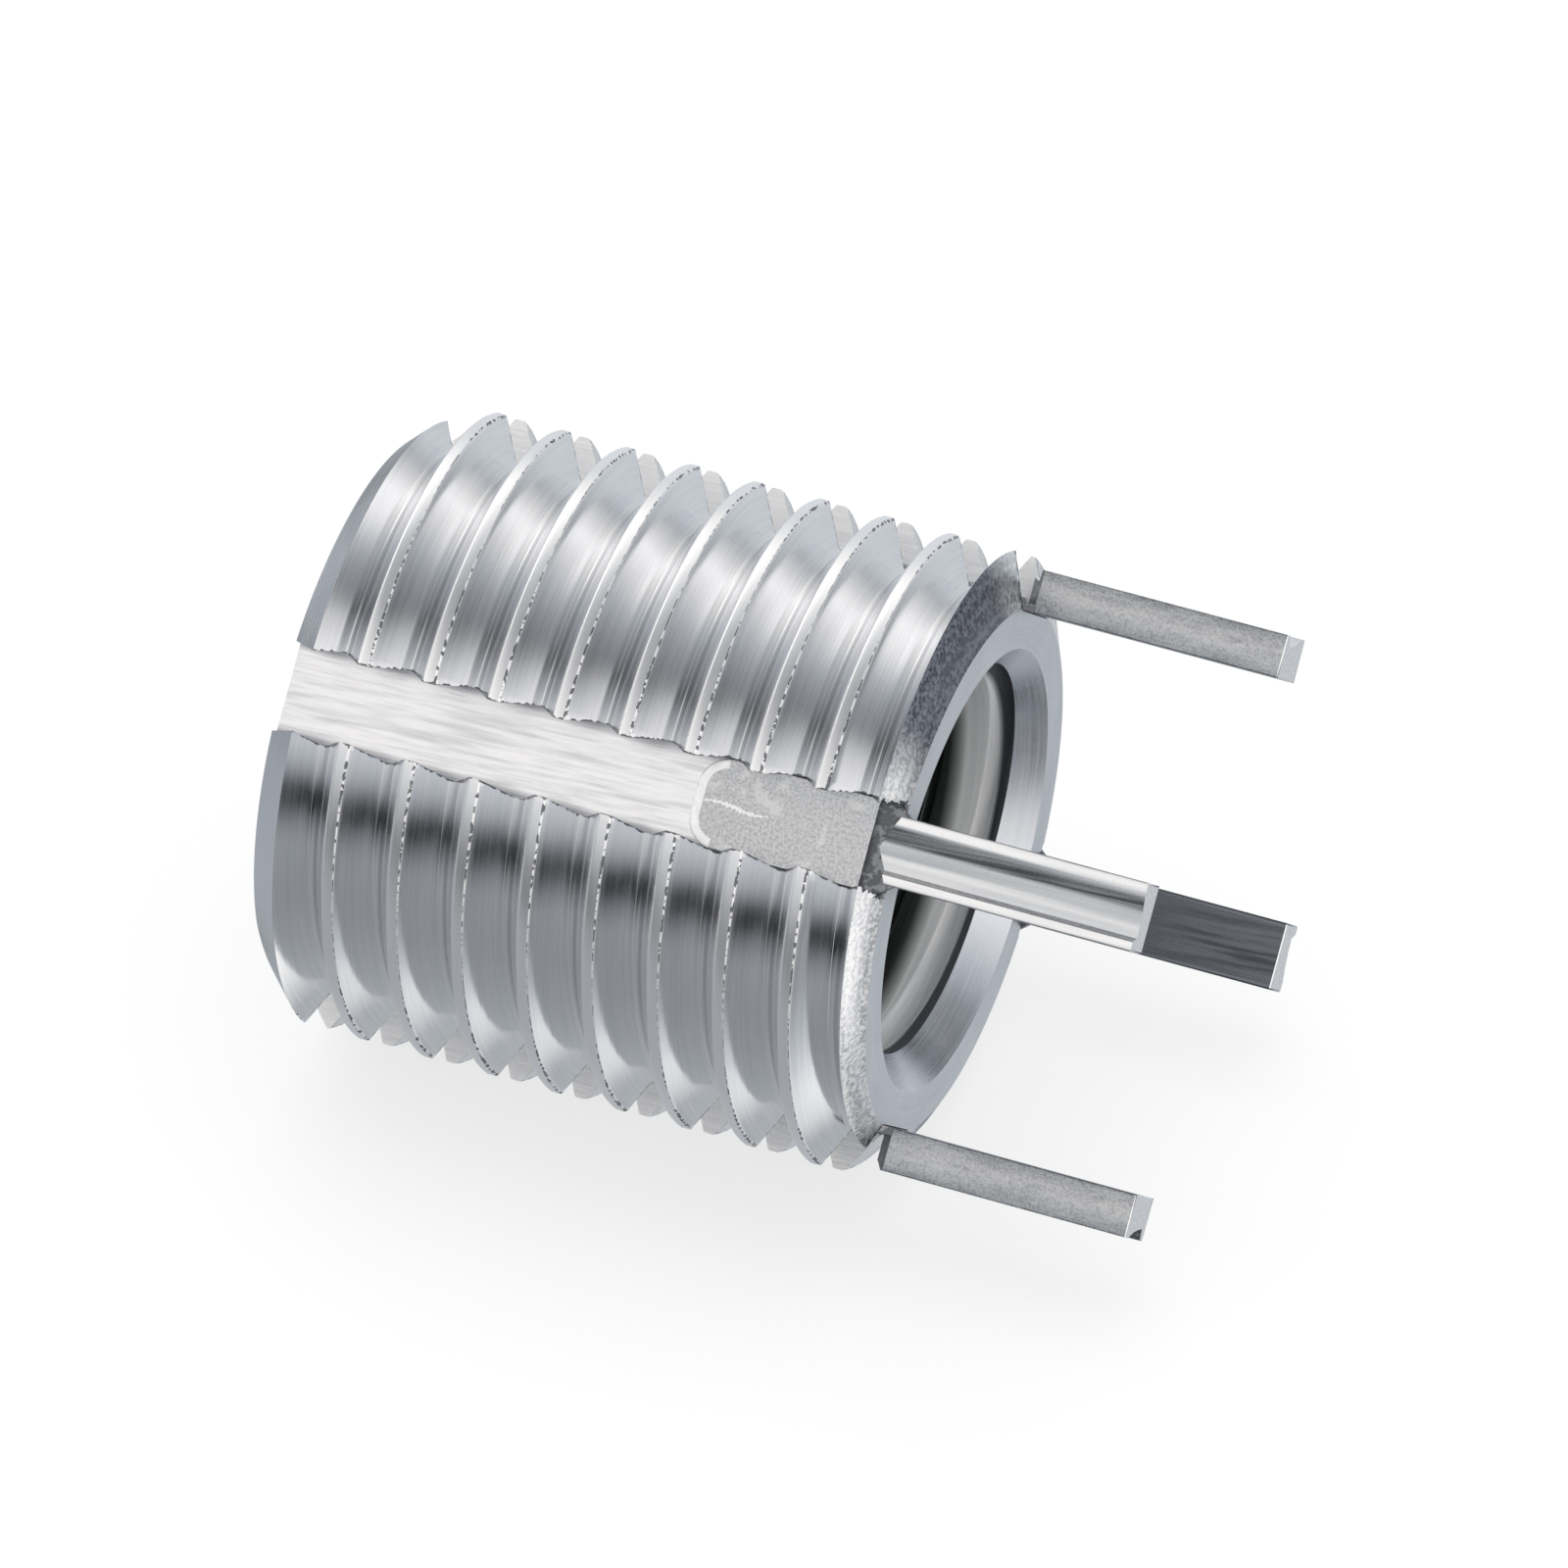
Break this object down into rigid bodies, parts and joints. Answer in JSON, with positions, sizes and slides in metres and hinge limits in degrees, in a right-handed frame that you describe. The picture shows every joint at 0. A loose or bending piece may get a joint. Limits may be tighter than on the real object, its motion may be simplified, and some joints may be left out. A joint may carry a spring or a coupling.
{
  "type": "threaded insert",
  "caption": "Key-locking threaded insert: a steel sleeve threaded inside and out, with locking keys staked in slots.",
  "frame": {"origin": "centre of the plain end face, the end that goes into the hole first and that the body stands on", "axes": "+Z along the insert's axis, from the plain end to the key end, with the keys pointing up; the first key is on the -Y side"},
  "size_m": [0.0138, 0.0138, 0.0198],
  "materials": {
    "body_steel": "bright machined, with a matt granular chamfer and milled slots",
    "key_steel": "drawn, with lengthwise lines and matt sides"
  },
  "bodies": {
    "root": {"threaded_body": "body_steel", "locking_key_1": "key_steel", "locking_key_2": "key_steel", "locking_key_3": "key_steel", "locking_key_4": "key_steel"}
  },
  "joints": []
}
